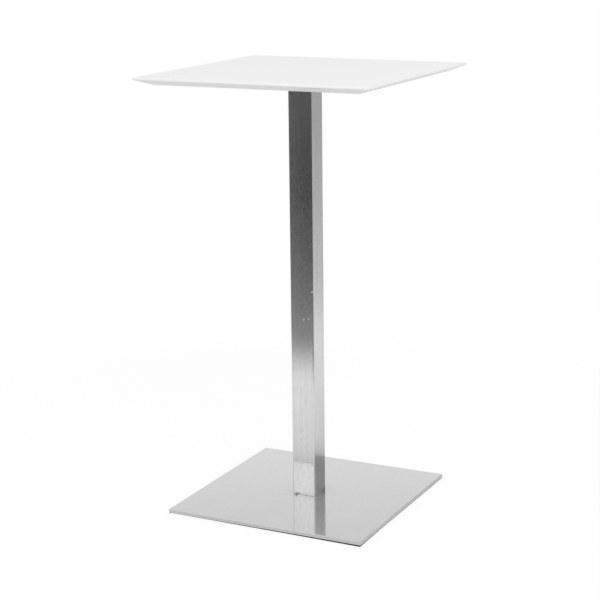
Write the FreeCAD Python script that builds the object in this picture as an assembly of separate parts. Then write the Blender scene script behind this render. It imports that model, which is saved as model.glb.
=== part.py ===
import FreeCAD, Part
import os

from FreeCAD import Vector

# Bar-height table: a square white board on a square tube column and a flat square base.
# Lengths are in millimetres. The origin lies on the floor under the column, +Z is up, and the
# edges of the board, the column and the base run along X and Y.

# Whole table
table_height = 1080.0

# Board, with an upright edge band above a bevel that runs in to the underside
board_width = 600.0
board_thickness = 19.0
board_band = 5.0
board_bevel_inset = 36.0
board_arris_radius = 1.2

# Threaded inserts in the underside of the board
insert_diameter = 10.0
insert_length = 10.0
insert_ridge = 0.6
insert_ridges = 4
insert_clearance = 0.05
insert_hole_spare = 1.0

# Mounting plate under the board
plate_width = 250.0
plate_thickness = 6.0
plate_corner_radius = 14.0
plate_chamfer = 0.6
plate_hole_edge = 20.0

# Button head screws and washers that hold the plate to the inserts
button_diameter = 6.0
button_length = 16.0
button_rim = 2.25
button_head_height = 3.3
button_socket_flats = 4.0
button_socket_depth = 2.1
washer_rim = 3.0
washer_thickness = 1.6
washer_clearance = 0.2

# Column tube, the plates welded into its ends and the gasket under its foot
column_width = 62.0
column_wall = 2.0
column_inside_radius = 1.0
column_end_chamfer = 0.4
end_plate_thickness = 10.0
end_plate_gap = 0.1
gasket_thickness = 0.6
gasket_inset = 0.2

# Countersunk screws that hold the column to the mounting plate and to the base
csk_diameter = 8.0
csk_rim = 4.0
csk_land = 0.4
csk_sink = 0.2
csk_socket_flats = 5.0
csk_socket_depth = 3.0
csk_edge_distance = 12.0
head_screw_length = 14.0
base_screw_length = 17.0

# Base: a sheet cover with turned-down edges over a weight plate
base_width = 522.0
base_height = 8.0
cover_sheet = 1.2
cover_bend_inside = 0.4
cover_corner_inside = 1.6
weight_gap = 0.3
weight_corner_radius = 3.0
weight_chamfer = 1.0

# Levelling feet: a threaded stud whose flange turns inside a flat pad
glide_edge_distance = 45.0
stud_diameter = 8.0
stud_top_gap = 0.3
stud_socket_flats = 4.0
stud_socket_depth = 2.5
flange_rim = 2.5
flange_thickness = 0.8
flange_end_play = 0.1
flange_side_play = 0.3
pad_diameter = 30.0
pad_floor = 0.7
pad_lip = 0.6
pad_chamfer = 0.5
pad_socket_hole = 6.4
pad_gap = 0.2

# Fits, screw tips, and how far a cut runs past what it cuts
thread_clearance = 0.05
hole_clearance = 0.5
seat_clearance = 0.15
tip_chamfer = 0.8
overrun = 1.0
level_tolerance = 0.001

# Heights, from the floor up
pad_height = pad_floor + flange_thickness + 2 * flange_end_play + pad_lip
base_low = pad_height + pad_gap
base_high = base_low + base_height
cover_under = base_high - cover_sheet
tube_low = base_high + gasket_thickness
board_low = table_height - board_thickness
bevel_high = table_height - board_band
plate_low = board_low - plate_thickness
tube_high = plate_low
button_seat = plate_low - washer_thickness
flange_low = pad_floor + flange_end_play
flange_high = flange_low + flange_thickness
stud_high = cover_under - stud_top_gap

# Widths, radii and places that several pieces share
column_inside = column_width - 2 * column_wall
column_corner_radius = column_inside_radius + column_wall
csk_radius = csk_diameter / 2
csk_head_radius = csk_radius + csk_rim
csk_offset = column_inside / 2 - csk_edge_distance
button_radius = button_diameter / 2
button_reach = button_seat + button_length - board_low
insert_hole_depth = max(insert_length, button_reach) + insert_hole_spare
plate_screw_offset = plate_width / 2 - plate_hole_edge
stud_radius = stud_diameter / 2
flange_radius = stud_radius + flange_rim
glide_offset = base_width / 2 - glide_edge_distance

# Directions, turns in degrees, and the corners that the feet stand at
UP = Vector(0, 0, 1)
ALONG_X = Vector(1, 0, 0)
ALONG_Y = Vector(0, 1, 0)
ORIGIN = Vector(0, 0, 0)
FULL_TURN = 360.0
HALF_TURN = FULL_TURN / 2
QUARTER_TURN = FULL_TURN / 4
SIXTH_TURN = FULL_TURN / 6
EIGHTH_TURN = FULL_TURN / 8
HEXAGON_CORNER_SHARE = 1 / 3 ** 0.5
CORNERS = {
    "front_left": (-1, -1),
    "front_right": (1, -1),
    "back_left": (-1, 1),
    "back_right": (1, 1),
}


def spun(point, degrees):
    """A point turned about the column's axis."""
    return FreeCAD.Rotation(UP, degrees).multVec(point)


def rounded_slab(width, radius, low, high):
    """A square slab with rounded upright corners, centred on the column's axis."""
    half = width / 2
    straight = half - radius
    arc_middle = Vector(straight, straight, low) + spun(Vector(radius, 0, 0), EIGHTH_TURN)
    edges = []
    for quarter in range(4):
        degrees = quarter * QUARTER_TURN
        side_start = spun(Vector(half, -straight, low), degrees)
        side_end = spun(Vector(half, straight, low), degrees)
        arc_end = spun(Vector(straight, half, low), degrees)
        edges.append(Part.LineSegment(side_start, side_end).toShape())
        edges.append(Part.Arc(side_end, spun(arc_middle, degrees), arc_end).toShape())
    return Part.Face(Part.Wire(edges)).extrude(UP * (high - low))


def edges_at(shape, height):
    """The edges of a shape that lie flat at one height."""
    flat_edges = []
    for edge in shape.Edges:
        if all(abs(vertex.Z - height) < level_tolerance for vertex in edge.Vertexes):
            flat_edges.append(edge)
    return flat_edges


def turned(profile):
    """A solid turned about the upright axis from points of radius and height."""
    points = [Vector(radius, 0, height) for radius, height in profile]
    outline = Part.makePolygon(points + points[:1])
    return Part.Face(outline).revolve(ORIGIN, UP, FULL_TURN)


def peg(radius, low, high):
    """A round bar on the upright axis."""
    return Part.makeCylinder(radius, high - low, UP * low)


def hexagon_bar(flats, low, high):
    """A six-sided bar on the upright axis, sized across its flats."""
    corner = Vector(flats * HEXAGON_CORNER_SHARE, 0, low)
    points = [spun(corner, side * SIXTH_TURN) for side in range(6)]
    outline = Part.makePolygon(points + points[:1])
    return Part.Face(outline).extrude(UP * (high - low))


def at_corner(shape, corner, offset):
    """A copy of a shape moved out to one corner of a square about the column's axis."""
    side_x, side_y = CORNERS[corner]
    return shape.translated(Vector(side_x * offset, side_y * offset, 0))


def at_corners(shape, offset):
    """A group of four copies of a shape, one at each corner."""
    return Part.makeCompound([at_corner(shape, corner, offset) for corner in CORNERS])


def holes(radius, low, high, offset):
    """Four round cuts through everything between two heights."""
    return at_corners(peg(radius, low - overrun, high + overrun), offset)


def make_table_top():
    """The board: a square slab, bevelled on four sides from below, with all its edges eased."""
    half = board_width / 2
    inner = half - board_bevel_inset
    start = -half - overrun
    bevel_outline = Part.makePolygon([
        Vector(half, start, bevel_high),
        Vector(inner, start, board_low),
        Vector(inner, start, board_low - overrun),
        Vector(half + overrun, start, board_low - overrun),
        Vector(half + overrun, start, bevel_high),
        Vector(half, start, bevel_high),
    ])
    bevel = Part.Face(bevel_outline).extrude(ALONG_Y * (board_width + 2 * overrun))
    board = Part.makeBox(board_width, board_width, board_thickness, Vector(-half, -half, board_low))
    for quarter in range(4):
        board = board.cut(bevel.rotated(ORIGIN, UP, quarter * QUARTER_TURN))
    board = board.makeFillet(board_arris_radius, board.Edges)
    insert_hole = peg(insert_diameter / 2 + insert_clearance, board_low - overrun,
                      board_low + insert_hole_depth)
    return board.cut(at_corners(insert_hole, plate_screw_offset))


def make_top_insert_nuts():
    """Threaded inserts with ridges that bite into the board, flush with its underside."""
    bore = button_radius + thread_clearance
    crest = insert_diameter / 2
    root = crest - insert_ridge
    pitch = insert_length / insert_ridges
    profile = [(bore, board_low), (root, board_low)]
    for ridge in range(insert_ridges):
        ridge_low = board_low + ridge * pitch
        profile.append((crest, ridge_low + pitch / 2))
        profile.append((root, ridge_low + pitch))
    profile.append((bore, board_low + insert_length))
    return at_corners(turned(profile), plate_screw_offset)


def countersunk_screw(length):
    """A countersunk screw with its flat head up at height zero and a hexagon socket in it."""
    cone_low = -csk_land - csk_rim
    screw = turned([
        (0, 0),
        (csk_head_radius, 0),
        (csk_head_radius, -csk_land),
        (csk_radius, cone_low),
        (csk_radius, tip_chamfer - length),
        (csk_radius - tip_chamfer, -length),
        (0, -length),
    ])
    return screw.cut(hexagon_bar(csk_socket_flats, -csk_socket_depth, overrun))


def countersink():
    """The room that a countersunk head needs, placed as the screw is."""
    radius = csk_head_radius + seat_clearance
    mouth = csk_sink + overrun
    return turned([(0, mouth), (radius, mouth), (radius, -csk_land), (0, -csk_land - radius)])


def placed_at_head(shape):
    """Four copies of a screw or its room, let down into the mounting plate from above."""
    return at_corners(shape.translated(UP * (board_low - csk_sink)), csk_offset)


def placed_at_base(shape):
    """Four copies of a screw or its room, put up into the weight plate from below."""
    flipped = shape.rotated(ORIGIN, ALONG_X, HALF_TURN)
    return at_corners(flipped.translated(UP * (base_low + csk_sink)), csk_offset)


def make_top_mounting_plate():
    """The plate under the board, countersunk for the column and drilled for the board."""
    plate = rounded_slab(plate_width, plate_corner_radius, plate_low, board_low)
    plate = plate.makeChamfer(plate_chamfer, edges_at(plate, plate_low) + edges_at(plate, board_low))
    plate = plate.cut(holes(button_radius + hole_clearance, plate_low, board_low, plate_screw_offset))
    plate = plate.cut(holes(csk_radius + hole_clearance, plate_low, board_low, csk_offset))
    return plate.cut(placed_at_head(countersink()))


def make_top_plate_screws():
    """Button head screws, put up through the plate into the inserts."""
    head_radius = button_radius + button_rim
    dome_radius = (head_radius ** 2 + button_head_height ** 2) / (2 * button_head_height)
    dome_centre = UP * (button_seat - button_head_height + dome_radius)
    head_low = button_seat - button_head_height
    tip = button_seat + button_length
    head = peg(head_radius, head_low, button_seat).common(Part.makeSphere(dome_radius, dome_centre))
    shank = turned([
        (0, button_seat),
        (button_radius, button_seat),
        (button_radius, tip - tip_chamfer),
        (button_radius - tip_chamfer, tip),
        (0, tip),
    ])
    socket = hexagon_bar(button_socket_flats, head_low - overrun, head_low + button_socket_depth)
    return at_corners(head.fuse(shank).cut(socket), plate_screw_offset)


def make_top_plate_washers():
    """Flat washers between the button heads and the plate."""
    ring = peg(button_radius + washer_rim, button_seat, plate_low)
    ring = ring.cut(peg(button_radius + washer_clearance, button_seat - overrun, plate_low + overrun))
    return at_corners(ring, plate_screw_offset)


def make_column_tube():
    """The square tube, with its cut ends eased outside."""
    tube = rounded_slab(column_width, column_corner_radius, tube_low, tube_high)
    tube = tube.makeChamfer(column_end_chamfer, edges_at(tube, tube_low) + edges_at(tube, tube_high))
    return tube.cut(rounded_slab(column_inside, column_inside_radius, tube_low - overrun,
                                 tube_high + overrun))


def end_plate(low, high):
    """A plate that fills the inside of the tube, tapped for four countersunk screws."""
    plate = rounded_slab(column_inside - 2 * end_plate_gap, column_inside_radius, low, high)
    return plate.cut(holes(csk_radius + thread_clearance, low, high, csk_offset))


def make_column_foot_gasket():
    """The thin gasket that keeps the end of the tube off the cover."""
    gasket = rounded_slab(column_width - 2 * gasket_inset, column_corner_radius - gasket_inset,
                          base_high, tube_low)
    return gasket.cut(holes(csk_radius + hole_clearance, base_high, tube_low, csk_offset))


def make_base_cover():
    """The sheet cover: a shallow tray, open below, with rounded bends and corners."""
    bend_outside = cover_bend_inside + cover_sheet
    corner_outside = cover_corner_inside + cover_sheet
    skin = rounded_slab(base_width, corner_outside, base_low, base_high)
    skin = skin.makeFillet(bend_outside, edges_at(skin, base_high))
    room = rounded_slab(base_width - 2 * cover_sheet, cover_corner_inside, base_low - overrun, cover_under)
    room = room.makeFillet(cover_bend_inside, edges_at(room, cover_under))
    return skin.cut(room).cut(holes(csk_radius + hole_clearance, cover_under, base_high, csk_offset))


def make_base_weight_plate():
    """The plate inside the cover, countersunk for the column and tapped for the feet."""
    plate = rounded_slab(base_width - 2 * (cover_sheet + weight_gap), weight_corner_radius,
                         base_low, cover_under)
    plate = plate.makeChamfer(weight_chamfer, edges_at(plate, base_low) + edges_at(plate, cover_under))
    plate = plate.cut(holes(csk_radius + hole_clearance, base_low, cover_under, csk_offset))
    plate = plate.cut(placed_at_base(countersink()))
    return plate.cut(holes(stud_radius + thread_clearance, base_low, cover_under, glide_offset))


def glide_stud():
    """A threaded stud with a flange at its foot and a hexagon socket in its underside."""
    stud = turned([
        (0, flange_low),
        (flange_radius, flange_low),
        (flange_radius, flange_high),
        (stud_radius, flange_high),
        (stud_radius, stud_high - tip_chamfer),
        (stud_radius - tip_chamfer, stud_high),
        (0, stud_high),
    ])
    return stud.cut(hexagon_bar(stud_socket_flats, flange_low - overrun, flange_low + stud_socket_depth))


def glide_pad():
    """A flat pad moulded round the flange, with a hole that lets a key reach the stud."""
    rim = pad_diameter / 2
    key_hole = pad_socket_hole / 2
    groove = flange_radius + flange_side_play
    groove_high = flange_high + flange_end_play
    neck = stud_radius + flange_side_play
    return turned([
        (key_hole, 0),
        (rim - pad_chamfer, 0),
        (rim, pad_chamfer),
        (rim, pad_height),
        (neck, pad_height),
        (neck, groove_high),
        (groove, groove_high),
        (groove, pad_floor),
        (key_hole, pad_floor),
    ])


pieces = {
    "table_top": make_table_top(),
    "top_insert_nuts": make_top_insert_nuts(),
    "top_mounting_plate": make_top_mounting_plate(),
    "top_plate_screws": make_top_plate_screws(),
    "top_plate_washers": make_top_plate_washers(),
    "column_head_screws": placed_at_head(countersunk_screw(head_screw_length)),
    "column_head_plate": end_plate(tube_high - end_plate_thickness, tube_high),
    "column_tube": make_column_tube(),
    "column_foot_plate": end_plate(tube_low, tube_low + end_plate_thickness),
    "column_foot_gasket": make_column_foot_gasket(),
    "base_cover": make_base_cover(),
    "base_weight_plate": make_base_weight_plate(),
    "base_screws": placed_at_base(countersunk_screw(base_screw_length)),
}
for corner in CORNERS:
    pieces["glide_stud_" + corner] = at_corner(glide_stud(), corner, glide_offset)
    pieces["glide_pad_" + corner] = at_corner(glide_pad(), corner, glide_offset)

os.makedirs("parts", exist_ok=True)
for name, shape in pieces.items():
    shape.exportStep(os.path.join("parts", name + ".step"))
    print(name, "solids", len(shape.Solids), "valid", shape.isValid(), "volume", round(shape.Volume, 1))
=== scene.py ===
import math

import bpy
from mathutils import Matrix, Vector


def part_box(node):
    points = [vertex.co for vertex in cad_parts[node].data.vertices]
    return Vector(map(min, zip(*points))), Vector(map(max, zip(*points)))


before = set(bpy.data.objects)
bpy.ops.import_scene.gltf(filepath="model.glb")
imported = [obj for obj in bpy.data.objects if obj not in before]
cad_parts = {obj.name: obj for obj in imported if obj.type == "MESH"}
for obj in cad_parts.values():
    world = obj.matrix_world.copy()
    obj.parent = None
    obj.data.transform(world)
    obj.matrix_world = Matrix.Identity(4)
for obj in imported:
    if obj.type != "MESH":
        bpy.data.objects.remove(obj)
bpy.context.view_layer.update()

# Sizes taken from the frame, in metres
COLUMN_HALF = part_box("column_tube")[1][0]
BASE_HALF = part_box("base_cover")[1][0]
BASE_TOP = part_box("base_cover")[1][2]

# Camera, in metres and degrees, with the picture taken as a square of IMAGE_PIXELS
IMAGE_PIXELS = 600
SENSOR_WIDTH_MM = 36.0
CAMERA_PLACE = Vector((1.76518, -3.57163, 1.47751))
CAMERA_AZIMUTH = 26.56
CAMERA_ELEVATION = 13.62
CAMERA_ROLL = -0.67
FOCAL_PIXELS = 1653.5

# Floor, in metres: it lies just under the feet and fades out between two distances from its centre, and
# a share of its white is paint that takes light and shadow
FLOOR_RADIUS = 3.0
FLOOR_SIDES = 96
FLOOR_CENTRE = (-0.2, 0.1, 0.0)
FLOOR_FADE = (1.172, 1.582)
FLOOR_PAINT_SHARE = 0.2
FLOOR_GAP = 0.0002

# What the metal mirrors of the floor: its colour, the board's faint shadow, and the shade round the
# base with its depth at the front left and at the back right
MIRRORED_COLOUR = 0.87
SHADOW_CENTRE = (0.2, 0.3, 0.0)
SHADOW_REACH = (0.5, 0.68)
SHADOW_SHARE = 0.05
SHADE_SHARES = (0.66, 0.75)
SHADE_START = 0.036
SHADE_REACH = 0.03

# Contact shadow under the base, in metres: along the front it comes out at the right corner and draws
# in steadily towards the left one, and on the other sides it draws in from the front to a small inset
CONTACT_COLOUR = 0.05
CONTACT_SPREAD = 0.0019
CONTACT_DRAW_SHARE = 0.0135
CONTACT_INSET = 0.0016

# The floor is open under the base, for the camera only from this far inside its edge, in metres
HOLE_INSET = 0.06

# Light: its colour, its brightness all round at stops of the sine of the elevation, and one lamp in
# metres and watts
WHITE = (1.0, 1.0, 1.0, 1.0)
AMBIENT_STOPS = ((-0.6, 0.6), (-0.15, 0.65), (0.05, 1.0), (0.5, 1.0), (0.75, 0.8))
KEY_PLACE = Vector((2.6, -3.0, 3.1))
KEY_SIZE = 3.6
KEY_POWER = 54.0

# Studio that the metal mirrors: brightness at stops of the sine of the elevation
BACK_STOPS = (
    (-0.3, 0.81), (0.1, 0.78), (0.25, 0.83), (0.32, 0.885), (0.345, 0.79), (0.37, 0.708), (1.0, 0.81),
)
RIGHT_STOPS = (
    (-0.255, 0.825), (-0.237, 0.664), (-0.219, 0.579), (-0.18, 0.516), (-0.108, 0.413), (0.0, 0.377),
    (0.3, 0.52), (0.325, 0.34), (0.336, 0.2), (0.347, 0.2), (0.374, 0.6), (0.7, 0.75), (1.0, 0.9),
)
DARK_STOPS = (
    (-0.261, 0.278), (-0.237, 0.168), (-0.21, 0.097), (-0.17, 0.046), (-0.14, 0.058), (-0.1, 0.108),
    (0.0, 0.1),
)
CAMERA_STOPS = (*DARK_STOPS, (0.1, 0.3), (0.2, 0.68), (0.42, 0.7), (1.0, 0.9))
PANEL_STOPS = (*DARK_STOPS, (0.2, 0.6), (0.29, 1.09), (0.35, 1.09), (0.42, 0.85), (1.0, 0.9))
LEFT_STOPS = (*DARK_STOPS, (0.1, 0.3), (0.2, 0.6), (0.42, 0.6), (0.6, 0.8), (1.0, 0.9))

# Walls of the studio, each over the ones before it: the direction of its middle, and the angles
# from there at which it ends and at which it is whole, all in degrees
WALLS = (
    (40.0, (66.4, 36.9), RIGHT_STOPS),
    (270.0, (126.9, 113.6), CAMERA_STOPS),
    (243.7, (22.0, 8.0), PANEL_STOPS),
    (195.0, (43.0, 30.0), LEFT_STOPS),
)

# Brushed steel, in metres, with the swing of its tone and roughness, the height of its mottle as a share
# of its grain's, and how fast its haze falls off
STEEL_COLOUR = 0.78
STEEL_ANISOTROPY = 0.9
GRAIN_WIDTH = 0.0004
GRAIN_LENGTH = 0.06
GRAIN_TONE = 0.03
GRAIN_ROUGHNESS = 0.03
GRAIN_DEPTH = 0.00001
STREAK_WIDTH = 0.003
STREAK_LENGTH = 0.25
MOTTLE_SIZE = 0.003
MOTTLE_HEIGHT_SHARE = 1.7
SMUDGE_SIZE = 0.12
SMUDGE_TONE = 0.015
SMUDGE_ROUGHNESS = 0.02
HAZE_FALL_POWER = 2.0

# Lean of the column's front face near its foot: the heights above the base between which it fades out,
# and the width of the edge where it ends, in metres
LEAN_HEIGHTS = (0.11, 0.25)
LEAN_EDGE = 0.002

# How the two steel pieces differ: their roughness, the swing of their streaks and mottle, the dull haze
# at their left and right with its mottle, the depth and reach of the shade painted into the corner
# between them, and the lean of their front near there
COLUMN_LOOK = {
    "roughness": 0.12, "streak_tone": 0.045, "mottle_tone": 0.1,
    "haze_shares": (0.09, 0.04), "mottle_haze": 0.028,
    "joint_shade_share": 0.06, "joint_shade_reach": 0.012, "lean_share": 0.0076,
}
BASE_LOOK = {
    "roughness": 0.07, "streak_tone": 0.008, "mottle_tone": 0.03,
    "haze_shares": (0.0, 0.0), "mottle_haze": 0.0,
    "joint_shade_share": 0.06, "joint_shade_reach": 0.03, "lean_share": 0.0,
}

# Marks: their place, with its height above the base, their radii along the axes, and how much they
# change the tone and the haze
COLUMN_MARKS = (
    ((-0.0055, -COLUMN_HALF, 0.171), (0.009, 0.009, 0.009), -0.1, 0.0),
    ((0.0284, -COLUMN_HALF, 0.531), (0.004, 0.004, 0.004), 0.0, 0.6),
    ((0.005, -COLUMN_HALF, 0.459), (0.005, 0.005, 0.005), 0.0, 0.3),
    ((0.018, -COLUMN_HALF, 0.461), (0.004, 0.004, 0.004), 0.0, 0.4),
    # The next two darken the column at its foot, on the right face and near the front left corner
    ((COLUMN_HALF, 0.022, 0.001), (0.004, 0.008, 0.014), -0.5, 0.0),
    ((-0.021, -COLUMN_HALF, 0.001), (0.0075, 0.006, 0.0055), -0.45, 0.0),
)
BASE_MARKS = (
    # A dark spot on the base just in front of the column's foot, near its left corner
    ((-0.018, -0.0375, 0.0), (0.0065, 0.0085, 0.006), -0.85, 0.0),
)
# The gasket's mark is painted shade that darkens its right side
GASKET_PAINTED_SHADE = (
    ((COLUMN_HALF, 0.0, 0.0), (0.004, 0.05, 0.004), -0.6, 0.0),
)

# Lacquer
LACQUER_COLOUR = 0.914
LACQUER_TONE = 0.006
LACQUER_ROUGHNESS = 0.34
LACQUER_ROUGHNESS_SWING = 0.03
LACQUER_PEEL_SIZE = 0.004
LACQUER_PEEL_DEPTH = 0.00001

# Coats, mouldings and platings: their colour and the swing of its tone, their roughness, the cells of
# their mottle in metres, the strength of its bump, and whether they are metal
FINISHES = {
    "black_powder_coat": ((0.03, 0.03, 0.03), 0.1, 0.5, 0.0012, 0.2, 0.0),
    "grey_primer": ((0.09, 0.09, 0.095), 0.15, 0.6, 0.004, 0.1, 0.0),
    "zinc_plate": ((0.66, 0.67, 0.68), 0.06, 0.3, 0.0015, 0.05, 1.0),
    "plain_steel": ((0.42, 0.42, 0.42), 0.1, 0.4, 0.002, 0.05, 1.0),
    "turned_brass": ((0.72, 0.56, 0.28), 0.06, 0.3, 0.001, 0.05, 1.0),
    "grey_rubber": ((0.45, 0.45, 0.45), 0.1, 0.7, 0.001, 0.1, 0.0),
    "black_nylon": ((0.025, 0.025, 0.025), 0.1, 0.55, 0.0008, 0.1, 0.0),
}
FINISH_ROUGHNESS_SWING = 0.05

# Noise: the middle part of its values, and its layers of detail in plain, fine and finest patterns
NOISE_RANGE = (0.3, 0.7)
PLAIN_DETAIL = 2.0
FINE_DETAIL = 3.0
FINEST_DETAIL = 4.0


def add_node(tree, kind, inputs=None, **settings):
    """A new node, with its settings and with values or links on its input sockets."""
    made = tree.nodes.new(kind)
    for name, value in settings.items():
        setattr(made, name, value)
    for socket, value in (inputs or {}).items():
        if isinstance(value, bpy.types.NodeSocket):
            tree.links.new(value, made.inputs[socket])
        else:
            made.inputs[socket].default_value = value
    return made


def maths(tree, operation, *values):
    """The result of a maths node."""
    made = add_node(tree, "ShaderNodeMath", dict(enumerate(values)), operation=operation)
    return made.outputs[0]


def total(tree, first, *others):
    """The sum of several values."""
    for value in others:
        first = maths(tree, "ADD", first, value)
    return first


def map_range(tree, value, old_range, new_range, smooth=False):
    """A value carried from one range to another, and held inside it."""
    made = add_node(tree, "ShaderNodeMapRange", {
        "Value": value,
        "From Min": old_range[0], "From Max": old_range[1],
        "To Min": new_range[0], "To Max": new_range[1],
    }, interpolation_type="SMOOTHSTEP" if smooth else "LINEAR")
    return made.outputs["Result"]


def mix(tree, factor, first, second):
    """A value between two others."""
    made = add_node(tree, "ShaderNodeMix", {"Factor": factor, "A": first, "B": second})
    return made.outputs["Result"]


def grey(tree, value):
    """A grey colour from one value."""
    made = add_node(tree, "ShaderNodeCombineColor", {"Red": value, "Green": value, "Blue": value})
    return made.outputs["Color"]


def vector_maths(tree, operation, *values, result="Vector"):
    """The result of a vector maths node: a vector, or a value for a length, a distance or a product."""
    made = add_node(tree, "ShaderNodeVectorMath", dict(enumerate(values)), operation=operation)
    return made.outputs[result]


def object_place(tree):
    """The place of a surface point, in metres."""
    return add_node(tree, "ShaderNodeTexCoord").outputs["Object"]


def axes(tree, vector):
    """The X, Y and Z of a vector."""
    return add_node(tree, "ShaderNodeSeparateXYZ", {"Vector": vector}).outputs


def distance_to(tree, point):
    """How far a surface point lies from a fixed point."""
    return vector_maths(tree, "DISTANCE", object_place(tree), point, result="Value")


def beside_square(tree, half_width):
    """How far a surface point lies outside an upright square prism about the origin."""
    sides = axes(tree, vector_maths(tree, "ABSOLUTE", object_place(tree)))
    widest = maths(tree, "MAXIMUM", sides["X"], sides["Y"])
    return maths(tree, "SUBTRACT", widest, half_width)


def noise(tree, sizes, detail=PLAIN_DETAIL):
    """A noise whose cells have these sizes along X, Y and Z, in metres."""
    stretch = add_node(tree, "ShaderNodeMapping", {
        "Vector": object_place(tree), "Scale": [1 / size for size in sizes]})
    made = add_node(tree, "ShaderNodeTexNoise", {
        "Vector": stretch.outputs["Vector"], "Scale": 1.0, "Detail": detail})
    return made.outputs["Fac"]


def swing(tree, value, amount, middle=0.0):
    """A noise carried to a swing about a middle value."""
    return map_range(tree, value, NOISE_RANGE, (middle - amount, middle + amount))


def along(axis, length, width):
    """Sizes of a cell that is long on one axis and narrow on the other two."""
    return [length if name == axis else width for name in "XYZ"]


def new_material(name):
    """A new material, its nodes and its principled shader."""
    material = bpy.data.materials.new(name)
    material.use_nodes = True
    tree = material.node_tree
    return material, tree, tree.nodes["Principled BSDF"]


def mark_share(tree, place, radii):
    """How much of a round mark covers a surface point."""
    across, deep, above = place
    apart = vector_maths(tree, "SUBTRACT", object_place(tree), (across, deep, BASE_TOP + above))
    scaled = vector_maths(tree, "DIVIDE", apart, radii)
    length = vector_maths(tree, "LENGTH", scaled, result="Value")
    return map_range(tree, length, (0.0, 1.0), (1.0, 0.0), smooth=True)


def painted_joint_shade(tree, share, reach):
    """Painted shade that fades away from the corner between column and base."""
    above = maths(tree, "SUBTRACT", axes(tree, object_place(tree))["Z"], BASE_TOP)
    distance = maths(tree, "MAXIMUM", above, beside_square(tree, COLUMN_HALF))
    return map_range(tree, distance, (0.0, reach), (-share, 0.0))


def add_marks(tree, marks, tone, haze):
    """The tone and the haze with the changes that marks bring."""
    for place, radii, tone_change, haze_change in marks:
        mark = mark_share(tree, place, radii)
        tone = total(tree, tone, maths(tree, "MULTIPLY", mark, tone_change))
        haze = total(tree, haze, maths(tree, "MULTIPLY", mark, haze_change))
    return tone, haze


def foot_lean(tree, normal, share):
    """The normal of the column's front face, turned up a little near its foot."""
    place = axes(tree, object_place(tree))
    above = maths(tree, "SUBTRACT", place["Z"], BASE_TOP)
    lean = map_range(tree, above, LEAN_HEIGHTS, (share, 0.0), smooth=True)
    in_front = map_range(tree, place["Y"], (-COLUMN_HALF, LEAN_EDGE - COLUMN_HALF), (1.0, 0.0))
    lift = add_node(tree, "ShaderNodeCombineXYZ", {"Z": maths(tree, "MULTIPLY", lean, in_front)})
    return vector_maths(tree, "NORMALIZE", vector_maths(tree, "ADD", normal, lift.outputs["Vector"]))


def side_haze(tree, left_haze, right_haze):
    """Dull haze that falls off from the left of the column to its right."""
    across = axes(tree, object_place(tree))["X"]
    leftness = map_range(tree, across, (-COLUMN_HALF, COLUMN_HALF), (1.0, 0.0))
    return mix(tree, maths(tree, "POWER", leftness, HAZE_FALL_POWER), right_haze, left_haze)


def link_shader(tree, shader, links):
    """Links values to a shader's sockets by name."""
    for socket, value in links.items():
        tree.links.new(value, shader.inputs[socket])


def brushed_steel(name, grain_axis, look, marks):
    """Stainless steel with fine brushed grain along one axis, streaks, mottle, haze and a few marks."""
    material, tree, shader = new_material(name)
    grain = noise(tree, along(grain_axis, GRAIN_LENGTH, GRAIN_WIDTH), FINE_DETAIL)
    streaks = noise(tree, along(grain_axis, STREAK_LENGTH, STREAK_WIDTH))
    mottle = noise(tree, [MOTTLE_SIZE] * 3)
    smudges = noise(tree, [SMUDGE_SIZE] * 3, FINE_DETAIL)
    # The tone takes painted shade near the corner between column and base
    tone = total(tree, 1.0, swing(tree, grain, GRAIN_TONE), swing(tree, streaks, look["streak_tone"]),
                 swing(tree, mottle, look["mottle_tone"]), swing(tree, smudges, SMUDGE_TONE),
                 painted_joint_shade(tree, look["joint_shade_share"], look["joint_shade_reach"]))
    rough = total(tree, look["roughness"], swing(tree, grain, GRAIN_ROUGHNESS),
                  swing(tree, smudges, SMUDGE_ROUGHNESS))
    haze = total(tree, side_haze(tree, *look["haze_shares"]), swing(tree, mottle, look["mottle_haze"]))
    tone, haze = add_marks(tree, marks, tone, haze)
    height = maths(tree, "ADD", grain, maths(tree, "MULTIPLY", mottle, MOTTLE_HEIGHT_SHARE))
    bump = add_node(tree, "ShaderNodeBump", {"Height": height, "Distance": GRAIN_DEPTH})
    tangent = add_node(tree, "ShaderNodeTangent", direction_type="RADIAL", axis=grain_axis)
    shader.inputs["Anisotropic"].default_value = STEEL_ANISOTROPY
    link_shader(tree, shader, {
        "Base Color": grey(tree, maths(tree, "MULTIPLY", tone, STEEL_COLOUR)),
        "Metallic": maths(tree, "SUBTRACT", 1.0, maths(tree, "MAXIMUM", haze, 0.0)),
        "Roughness": rough,
        "Normal": foot_lean(tree, bump.outputs["Normal"], look["lean_share"]),
        "Tangent": tangent.outputs["Tangent"],
    })
    return material


def lacquer(name):
    """Satin white lacquer with a faint orange peel and hardly any change of tone."""
    material, tree, shader = new_material(name)
    peel = noise(tree, [LACQUER_PEEL_SIZE] * 3)
    cloud = noise(tree, [SMUDGE_SIZE] * 3, FINE_DETAIL)
    tone = swing(tree, cloud, LACQUER_TONE, LACQUER_COLOUR)
    rough = swing(tree, cloud, LACQUER_ROUGHNESS_SWING, LACQUER_ROUGHNESS)
    bump = add_node(tree, "ShaderNodeBump", {"Height": peel, "Distance": LACQUER_PEEL_DEPTH})
    link_shader(tree, shader, {
        "Base Color": grey(tree, tone),
        "Roughness": rough,
        "Normal": bump.outputs["Normal"],
    })
    return material


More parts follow.
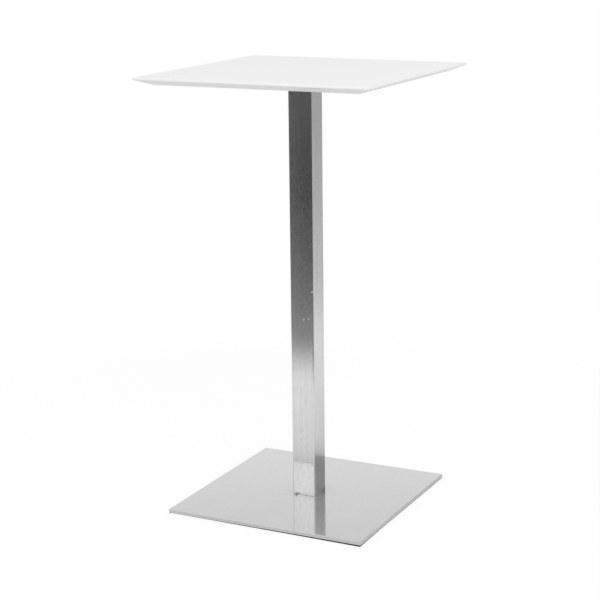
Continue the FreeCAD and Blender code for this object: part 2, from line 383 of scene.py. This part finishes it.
def plain_finish(name, marks=()):
    """A coat, moulding or plating: one colour with a fine mottle, a fine bump and perhaps marks, some of
    them painted shade.
    """
    colour, spread, roughness, cell, bump_strength, metallic = FINISHES[name]
    material, tree, shader = new_material(name)
    mottle = noise(tree, [cell] * 3, FINEST_DETAIL)
    shade, _ = add_marks(tree, marks, swing(tree, mottle, spread, 1.0), 0.0)
    tint = add_node(tree, "ShaderNodeMix", {"Factor": 1.0, "A": (*colour, 1.0), "B": grey(tree, shade)},
                    data_type="RGBA", blend_type="MULTIPLY")
    bump = add_node(tree, "ShaderNodeBump", {
        "Height": mottle, "Strength": bump_strength, "Distance": cell})
    shader.inputs["Metallic"].default_value = metallic
    link_shader(tree, shader, {
        "Base Color": tint.outputs["Result"],
        "Roughness": swing(tree, mottle, FINISH_ROUGHNESS_SWING, roughness),
        "Normal": bump.outputs["Normal"],
    })
    return material


def dress(material, *names):
    """Gives CAD nodes a material."""
    for name in names:
        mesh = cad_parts[name].data
        mesh.materials.clear()
        mesh.materials.append(material)


def by_prefix(prefix):
    """The CAD nodes whose names start alike."""
    return [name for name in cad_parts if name.startswith(prefix)]


def make_materials():
    """The finish of every piece."""
    dress(lacquer("white_lacquer"), "table_top")
    dress(brushed_steel("brushed_column", "Z", COLUMN_LOOK, COLUMN_MARKS), "column_tube")
    dress(brushed_steel("brushed_base", "X", BASE_LOOK, BASE_MARKS), "base_cover")
    dress(plain_finish("black_powder_coat"), "top_mounting_plate")
    dress(plain_finish("grey_primer"), "base_weight_plate")
    dress(plain_finish("zinc_plate"), "top_plate_screws", "top_plate_washers", "column_head_screws",
          "base_screws", *by_prefix("glide_stud"))
    dress(plain_finish("plain_steel"), "column_head_plate", "column_foot_plate")
    dress(plain_finish("turned_brass"), "top_insert_nuts")
    dress(plain_finish("grey_rubber", GASKET_PAINTED_SHADE), "column_foot_gasket")
    dress(plain_finish("black_nylon"), *by_prefix("glide_pad"))


def elevation_profile(tree, sine, stops):
    """Brightness along the elevation, from stops of its sine."""
    place_on_curve = map_range(tree, sine, (-1.0, 1.0), (0.0, 1.0))
    ramp = add_node(tree, "ShaderNodeFloatCurve", {"Value": place_on_curve})
    curve = ramp.mapping.curves[0]
    ramp.mapping.use_clip = False
    curve.points[0].location = (0.0, stops[0][1])
    curve.points[1].location = (1.0, stops[-1][1])
    for place, brightness in stops:
        curve.points.new((place + 1) / 2, brightness)
    for point in curve.points:
        point.handle_type = "VECTOR"
    ramp.mapping.update()
    return ramp.outputs["Value"]


def towards(tree, direction, azimuth):
    """How far a direction's heading points to an azimuth, from -1 to 1."""
    angle = math.radians(azimuth)
    level = vector_maths(tree, "MULTIPLY", direction, (1.0, 1.0, 0.0))
    heading = vector_maths(tree, "NORMALIZE", level)
    target = (math.cos(angle), math.sin(angle), 0.0)
    return vector_maths(tree, "DOT_PRODUCT", heading, target, result="Value")


def make_world():
    """White for the camera, soft light for the rest, and a studio room for the metal to mirror."""
    world = bpy.data.worlds.new("studio")
    bpy.context.scene.world = world
    world.use_nodes = True
    tree = world.node_tree
    background = tree.nodes["Background"]
    rays = add_node(tree, "ShaderNodeLightPath")
    direction = add_node(tree, "ShaderNodeTexCoord").outputs["Generated"]
    sine = axes(tree, direction)["Z"]
    room = elevation_profile(tree, sine, BACK_STOPS)
    for azimuth, angles, stops in WALLS:
        reach = [math.cos(math.radians(angle)) for angle in angles]
        share = map_range(tree, towards(tree, direction, azimuth), reach, (0.0, 1.0), smooth=True)
        room = mix(tree, share, room, elevation_profile(tree, sine, stops))
    ambient = elevation_profile(tree, sine, AMBIENT_STOPS)
    seen = maths(tree, "ADD", rays.outputs["Is Camera Ray"], rays.outputs["Is Transmission Ray"])
    plain = mix(tree, seen, ambient, 1.0)
    strength = mix(tree, rays.outputs["Is Glossy Ray"], plain, room)
    background.inputs["Color"].default_value = WHITE
    tree.links.new(strength, background.inputs["Strength"])


def contact_share(tree, place, beside):
    """Whether a floor point lies in the contact shadow under the base, as 1 or 0."""
    from_corner = maths(tree, "SUBTRACT", BASE_HALF, place["X"])
    drawn_in = maths(tree, "MULTIPLY", from_corner, CONTACT_DRAW_SHARE)
    front_edge = maths(tree, "SUBTRACT", CONTACT_SPREAD, drawn_in)
    from_front = maths(tree, "ADD", place["Y"], BASE_HALF)
    side_drawn_in = maths(tree, "MULTIPLY", from_front, CONTACT_DRAW_SHARE)
    side_inset = maths(tree, "MINIMUM", side_drawn_in, CONTACT_INSET)
    side_edge = maths(tree, "MULTIPLY", side_inset, -1.0)
    forward = maths(tree, "MULTIPLY", place["Y"], -1.0)
    in_front = maths(tree, "GREATER_THAN", forward, maths(tree, "ABSOLUTE", place["X"]))
    return maths(tree, "LESS_THAN", beside, mix(tree, in_front, side_edge, front_edge))


def mirrored_tone(tree, place, beside):
    """The floor's tone in the metal, with the shade round the base and the board's shadow."""
    diagonal = total(tree, place["X"], place["Y"])
    share = map_range(tree, diagonal, (-2 * BASE_HALF, 2 * BASE_HALF), SHADE_SHARES)
    depth = maths(tree, "DIVIDE", share, total(tree, maths(tree, "DIVIDE", beside, SHADE_REACH), 1.0))
    shade = maths(tree, "MULTIPLY", depth, map_range(tree, beside, (0.0, SHADE_START), (0.0, 1.0)))
    shadow = map_range(tree, distance_to(tree, SHADOW_CENTRE), SHADOW_REACH, (SHADOW_SHARE, 0.0))
    open_share = maths(tree, "SUBTRACT", maths(tree, "SUBTRACT", 1.0, shade), shadow)
    return maths(tree, "MULTIPLY", open_share, MIRRORED_COLOUR)


def floor_material():
    """White for the camera, shaded round the base for the metal to mirror, and clear from below."""
    material = bpy.data.materials.new("floor")
    material.use_nodes = True
    tree = material.node_tree
    tree.nodes.clear()
    seen = add_node(tree, "ShaderNodeLightPath").outputs["Is Camera Ray"]
    place = axes(tree, object_place(tree))
    beside = beside_square(tree, BASE_HALF)
    contact = contact_share(tree, place, beside)
    plain = mix(tree, contact, FLOOR_PAINT_SHARE, CONTACT_COLOUR)
    colour = grey(tree, mix(tree, seen, mirrored_tone(tree, place, beside), plain))
    paint = add_node(tree, "ShaderNodeBsdfDiffuse", {"Color": colour})
    white = maths(tree, "MULTIPLY", seen, mix(tree, contact, 1.0 - FLOOR_PAINT_SHARE, 0.0))
    glow = add_node(tree, "ShaderNodeEmission", {"Strength": white})
    lit = add_node(tree, "ShaderNodeAddShader", {0: paint.outputs[0], 1: glow.outputs[0]})

    hole = maths(tree, "LESS_THAN", beside, mix(tree, seen, 0.0, -HOLE_INSET))
    faded = map_range(tree, distance_to(tree, FLOOR_CENTRE), FLOOR_FADE, (0.0, 1.0))
    below = add_node(tree, "ShaderNodeNewGeometry").outputs["Backfacing"]
    gone = maths(tree, "MAXIMUM", maths(tree, "MAXIMUM", faded, hole), below)
    clear = add_node(tree, "ShaderNodeBsdfTransparent")
    mixed = add_node(tree, "ShaderNodeMixShader", {"Fac": gone, 1: lit.outputs[0], 2: clear.outputs[0]})
    add_node(tree, "ShaderNodeOutputMaterial", {"Surface": mixed.outputs[0]})
    return material


def make_floor():
    """A round floor just under the feet."""
    points = []
    for side in range(FLOOR_SIDES):
        angle = 2 * math.pi * side / FLOOR_SIDES
        points.append((FLOOR_RADIUS * math.cos(angle), FLOOR_RADIUS * math.sin(angle), -FLOOR_GAP))
    mesh = bpy.data.meshes.new("floor")
    mesh.from_pydata(points, [], [list(range(FLOOR_SIDES))])
    mesh.materials.append(floor_material())
    floor = bpy.data.objects.new("floor", mesh)
    bpy.context.scene.collection.objects.link(floor)


def make_key_light():
    """One broad soft lamp, above and to the right of the camera."""
    data = bpy.data.lights.new("key", "AREA")
    data.shape = "DISK"
    data.size = KEY_SIZE
    data.energy = KEY_POWER
    lamp = bpy.data.objects.new("key", data)
    lamp.location = KEY_PLACE
    lamp.rotation_mode = "QUATERNION"
    lamp.rotation_quaternion = (-KEY_PLACE).to_track_quat("-Z", "Y")
    lamp.visible_camera = False
    lamp.visible_glossy = False
    bpy.context.scene.collection.objects.link(lamp)


def make_camera():
    """The camera at the photograph's place and angle."""
    azimuth = math.radians(CAMERA_AZIMUTH)
    elevation = math.radians(CAMERA_ELEVATION)
    back = Vector((math.sin(azimuth) * math.cos(elevation), -math.cos(azimuth) * math.cos(elevation),
                   math.sin(elevation)))
    right = (-back).cross(Vector((0, 0, 1))).normalized()
    up = right.cross(-back)
    level = Matrix((right, up, back)).transposed()
    data = bpy.data.cameras.new("camera")
    data.sensor_width = SENSOR_WIDTH_MM
    data.lens = FOCAL_PIXELS / IMAGE_PIXELS * SENSOR_WIDTH_MM
    camera = bpy.data.objects.new("camera", data)
    turn = level @ Matrix.Rotation(math.radians(CAMERA_ROLL), 3, "Z")
    camera.matrix_world = Matrix.Translation(CAMERA_PLACE) @ turn.to_4x4()
    bpy.context.scene.collection.objects.link(camera)
    bpy.context.scene.camera = camera


make_materials()
make_world()
make_floor()
make_key_light()
make_camera()
bpy.context.scene.view_settings.view_transform = "Standard"
